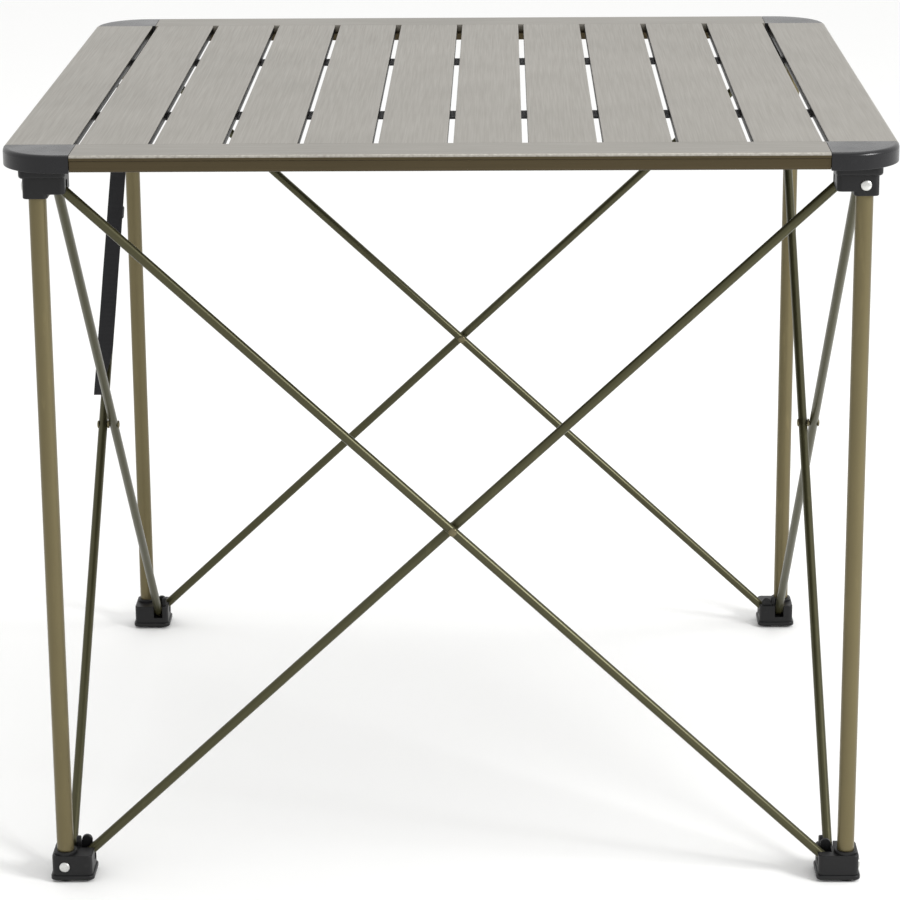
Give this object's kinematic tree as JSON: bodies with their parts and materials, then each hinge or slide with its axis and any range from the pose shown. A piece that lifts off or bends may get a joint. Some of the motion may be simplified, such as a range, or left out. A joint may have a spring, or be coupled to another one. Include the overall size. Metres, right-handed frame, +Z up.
{
  "type": "folding side table",
  "caption": "Square folding camp table: roll-up slatted top with edge rails and corner caps on a four-sided scissor frame with telescopic legs.",
  "frame": {"origin": "middle of the four feet, on the ground", "axes": "+X to the table's right, +Y to its back, +Z up; the slats run along Y"},
  "size_m": [0.8, 0.8, 0.7],
  "materials": {
    "slat_aluminium": "anodised, satin, warm grey",
    "rail_aluminium": "anodised dark bronze, satin",
    "leg_tube": "bronze anodised tube, satin",
    "arm_tube": "dark olive bronze anodised tube, satin",
    "black_nylon": "moulded black nylon, fine texture",
    "rivet_steel": "plated, satin",
    "webbing": "woven black webbing"
  },
  "bodies": {
    "leg_front_right": {"foot_front_right": "black_nylon", "leg_tube_front_right": "leg_tube", "foot_rivet_front_right": "rivet_steel"},
    "hub_front_right": {"hub_front_right": "black_nylon", "leg_inner_tube_front_right": "leg_tube", "hub_rivet_front_right": "rivet_steel"},
    "leg_back_right": {"foot_back_right": "black_nylon", "leg_tube_back_right": "leg_tube", "foot_rivet_back_right": "rivet_steel"},
    "hub_back_right": {"hub_back_right": "black_nylon", "leg_inner_tube_back_right": "leg_tube", "hub_rivet_back_right": "rivet_steel"},
    "leg_back_left": {"foot_back_left": "black_nylon", "leg_tube_back_left": "leg_tube", "foot_rivet_back_left": "rivet_steel"},
    "hub_back_left": {"hub_back_left": "black_nylon", "leg_inner_tube_back_left": "leg_tube", "hub_rivet_back_left": "rivet_steel"},
    "leg_front_left": {"foot_front_left": "black_nylon", "leg_tube_front_left": "leg_tube", "foot_rivet_front_left": "rivet_steel"},
    "hub_front_left": {"hub_front_left": "black_nylon", "leg_inner_tube_front_left": "leg_tube", "hub_rivet_front_left": "rivet_steel"},
    "outer_arm_right": {"outer_arm_right": "arm_tube", "crossing_rivet_right": "rivet_steel"},
    "inner_arm_right": {"inner_arm_right": "arm_tube"},
    "outer_arm_back": {"outer_arm_back": "arm_tube", "crossing_rivet_back": "rivet_steel"},
    "inner_arm_back": {"inner_arm_back": "arm_tube"},
    "outer_arm_left": {"outer_arm_left": "arm_tube", "crossing_rivet_left": "rivet_steel", "binding_strap": "webbing"},
    "inner_arm_left": {"inner_arm_left": "arm_tube"},
    "outer_arm_front": {"outer_arm_front": "arm_tube", "crossing_rivet_front": "rivet_steel"},
    "inner_arm_front": {"inner_arm_front": "arm_tube"},
    "top_left_end": {"slat_01": "slat_aluminium", "corner_cap_front_left": "black_nylon", "corner_cap_back_left": "black_nylon", "edge_rail_front": "rail_aluminium", "edge_rail_back": "rail_aluminium", "webbing_front": "webbing", "webbing_back": "webbing"},
    "slat_02": {"slat_02": "slat_aluminium"},
    "slat_03": {"slat_03": "slat_aluminium"},
    "slat_04": {"slat_04": "slat_aluminium"},
    "slat_05": {"slat_05": "slat_aluminium"},
    "slat_06": {"slat_06": "slat_aluminium"},
    "slat_07": {"slat_07": "slat_aluminium"},
    "slat_08": {"slat_08": "slat_aluminium"},
    "slat_09": {"slat_09": "slat_aluminium"},
    "slat_10": {"slat_10": "slat_aluminium"},
    "slat_11": {"slat_11": "slat_aluminium"},
    "top_right_end": {"slat_12": "slat_aluminium", "corner_cap_front_right": "black_nylon", "corner_cap_back_right": "black_nylon"}
  },
  "joints": [
    {"name": "frame_fold", "type": "hinge", "parent": "leg_back_left", "child": "inner_arm_left", "pos_m": [-0.3535, 0.35, 0.018], "axis": [-1, 0, 0], "range_deg": [0, 45]},
    {"name": "left_crossing", "type": "hinge", "parent": "inner_arm_left", "child": "outer_arm_left", "pos_m": [-0.359, 0, 0.3425], "axis": [-1, 0, 0], "range_deg": [-90, 0]},
    {"name": "front_left_foot_pivot", "type": "hinge", "parent": "outer_arm_left", "child": "leg_front_left", "pos_m": [-0.3645, -0.35, 0.018], "axis": [-1, 0, 0], "range_deg": [0, 45]},
    {"name": "front_left_hub_pivot", "type": "hinge", "parent": "inner_arm_left", "child": "hub_front_left", "pos_m": [-0.3535, -0.35, 0.667], "axis": [-1, 0, 0], "range_deg": [-45, 0]},
    {"name": "back_left_hub_pivot", "type": "hinge", "parent": "outer_arm_left", "child": "hub_back_left", "pos_m": [-0.3645, 0.35, 0.667], "axis": [-1, 0, 0], "range_deg": [0, 45]},
    {"name": "back_left_foot_pivot", "type": "hinge", "parent": "leg_back_left", "child": "outer_arm_back", "pos_m": [-0.35, 0.3645, 0.018], "axis": [0, 1, 0], "range_deg": [-45, 0]},
    {"name": "back_crossing", "type": "hinge", "parent": "outer_arm_back", "child": "inner_arm_back", "pos_m": [0, 0.359, 0.3425], "axis": [0, 1, 0], "range_deg": [0, 90]},
    {"name": "back_right_foot_pivot", "type": "hinge", "parent": "inner_arm_back", "child": "leg_back_right", "pos_m": [0.35, 0.3535, 0.018], "axis": [0, 1, 0], "range_deg": [-45, 0]},
    {"name": "back_right_hub_pivot", "type": "hinge", "parent": "outer_arm_back", "child": "hub_back_right", "pos_m": [0.35, 0.3645, 0.667], "axis": [0, 1, 0], "range_deg": [0, 45]},
    {"name": "right_side_foot_pivot", "type": "hinge", "parent": "leg_back_right", "child": "outer_arm_right", "pos_m": [0.3645, 0.35, 0.018], "axis": [1, 0, 0], "range_deg": [-45, 0]},
    {"name": "right_crossing", "type": "hinge", "parent": "outer_arm_right", "child": "inner_arm_right", "pos_m": [0.359, 0, 0.3425], "axis": [1, 0, 0], "range_deg": [0, 90]},
    {"name": "front_right_foot_pivot", "type": "hinge", "parent": "inner_arm_right", "child": "leg_front_right", "pos_m": [0.3535, -0.35, 0.018], "axis": [1, 0, 0], "range_deg": [-45, 0]},
    {"name": "front_right_hub_pivot", "type": "hinge", "parent": "outer_arm_right", "child": "hub_front_right", "pos_m": [0.3645, -0.35, 0.667], "axis": [1, 0, 0], "range_deg": [0, 45]},
    {"name": "front_side_foot_pivot", "type": "hinge", "parent": "leg_front_left", "child": "inner_arm_front", "pos_m": [-0.35, -0.3535, 0.018], "axis": [0, -1, 0], "range_deg": [0, 45]},
    {"name": "front_crossing", "type": "hinge", "parent": "inner_arm_front", "child": "outer_arm_front", "pos_m": [0, -0.359, 0.3425], "axis": [0, -1, 0], "range_deg": [-90, 0]},
    {"name": "top_lift", "type": "slide", "parent": "hub_back_left", "child": "top_left_end", "axis": [0, 0, 1], "range_m": [0, 0.06]},
    {"name": "top_roll", "type": "hinge", "parent": "top_left_end", "child": "slat_02", "pos_m": [-0.335, 0, 0.69045], "axis": [0, -1, 0], "range_deg": [0, 28]},
    {"name": "slat_hinge_02", "type": "hinge", "parent": "slat_02", "child": "slat_03", "pos_m": [-0.268, 0, 0.69045], "axis": [0, -1, 0], "range_deg": [0, 28]},
    {"name": "slat_hinge_03", "type": "hinge", "parent": "slat_03", "child": "slat_04", "pos_m": [-0.201, 0, 0.69045], "axis": [0, -1, 0], "range_deg": [0, 28]},
    {"name": "slat_hinge_04", "type": "hinge", "parent": "slat_04", "child": "slat_05", "pos_m": [-0.134, 0, 0.69045], "axis": [0, -1, 0], "range_deg": [0, 28]},
    {"name": "slat_hinge_05", "type": "hinge", "parent": "slat_05", "child": "slat_06", "pos_m": [-0.067, 0, 0.69045], "axis": [0, -1, 0], "range_deg": [0, 28]},
    {"name": "slat_hinge_06", "type": "hinge", "parent": "slat_06", "child": "slat_07", "pos_m": [0, 0, 0.69045], "axis": [0, -1, 0], "range_deg": [0, 28]},
    {"name": "slat_hinge_07", "type": "hinge", "parent": "slat_07", "child": "slat_08", "pos_m": [0.067, 0, 0.69045], "axis": [0, -1, 0], "range_deg": [0, 28]},
    {"name": "slat_hinge_08", "type": "hinge", "parent": "slat_08", "child": "slat_09", "pos_m": [0.134, 0, 0.69045], "axis": [0, -1, 0], "range_deg": [0, 28]},
    {"name": "slat_hinge_09", "type": "hinge", "parent": "slat_09", "child": "slat_10", "pos_m": [0.201, 0, 0.69045], "axis": [0, -1, 0], "range_deg": [0, 28]},
    {"name": "slat_hinge_10", "type": "hinge", "parent": "slat_10", "child": "slat_11", "pos_m": [0.268, 0, 0.69045], "axis": [0, -1, 0], "range_deg": [0, 28]},
    {"name": "slat_hinge_11", "type": "hinge", "parent": "slat_11", "child": "top_right_end", "pos_m": [0.335, 0, 0.69045], "axis": [0, -1, 0], "range_deg": [0, 28]}
  ],
  "couplings": [
    {"joint": "left_crossing", "follows": "frame_fold", "ratio": -2},
    {"joint": "front_left_foot_pivot", "follows": "frame_fold", "ratio": 1},
    {"joint": "front_left_hub_pivot", "follows": "frame_fold", "ratio": -1},
    {"joint": "back_left_hub_pivot", "follows": "frame_fold", "ratio": 1},
    {"joint": "back_left_foot_pivot", "follows": "frame_fold", "ratio": -1},
    {"joint": "back_crossing", "follows": "frame_fold", "ratio": 2},
    {"joint": "back_right_foot_pivot", "follows": "frame_fold", "ratio": -1},
    {"joint": "back_right_hub_pivot", "follows": "frame_fold", "ratio": 1},
    {"joint": "right_side_foot_pivot", "follows": "frame_fold", "ratio": -1},
    {"joint": "right_crossing", "follows": "frame_fold", "ratio": 2},
    {"joint": "front_right_foot_pivot", "follows": "frame_fold", "ratio": -1},
    {"joint": "front_right_hub_pivot", "follows": "frame_fold", "ratio": 1},
    {"joint": "front_side_foot_pivot", "follows": "frame_fold", "ratio": 1},
    {"joint": "front_crossing", "follows": "frame_fold", "ratio": -2},
    {"joint": "slat_hinge_02", "follows": "top_roll", "ratio": 1},
    {"joint": "slat_hinge_03", "follows": "top_roll", "ratio": 1},
    {"joint": "slat_hinge_04", "follows": "top_roll", "ratio": 1},
    {"joint": "slat_hinge_05", "follows": "top_roll", "ratio": 1},
    {"joint": "slat_hinge_06", "follows": "top_roll", "ratio": 1},
    {"joint": "slat_hinge_07", "follows": "top_roll", "ratio": 1},
    {"joint": "slat_hinge_08", "follows": "top_roll", "ratio": 1},
    {"joint": "slat_hinge_09", "follows": "top_roll", "ratio": 1},
    {"joint": "slat_hinge_10", "follows": "top_roll", "ratio": 1},
    {"joint": "slat_hinge_11", "follows": "top_roll", "ratio": 1}
  ]
}
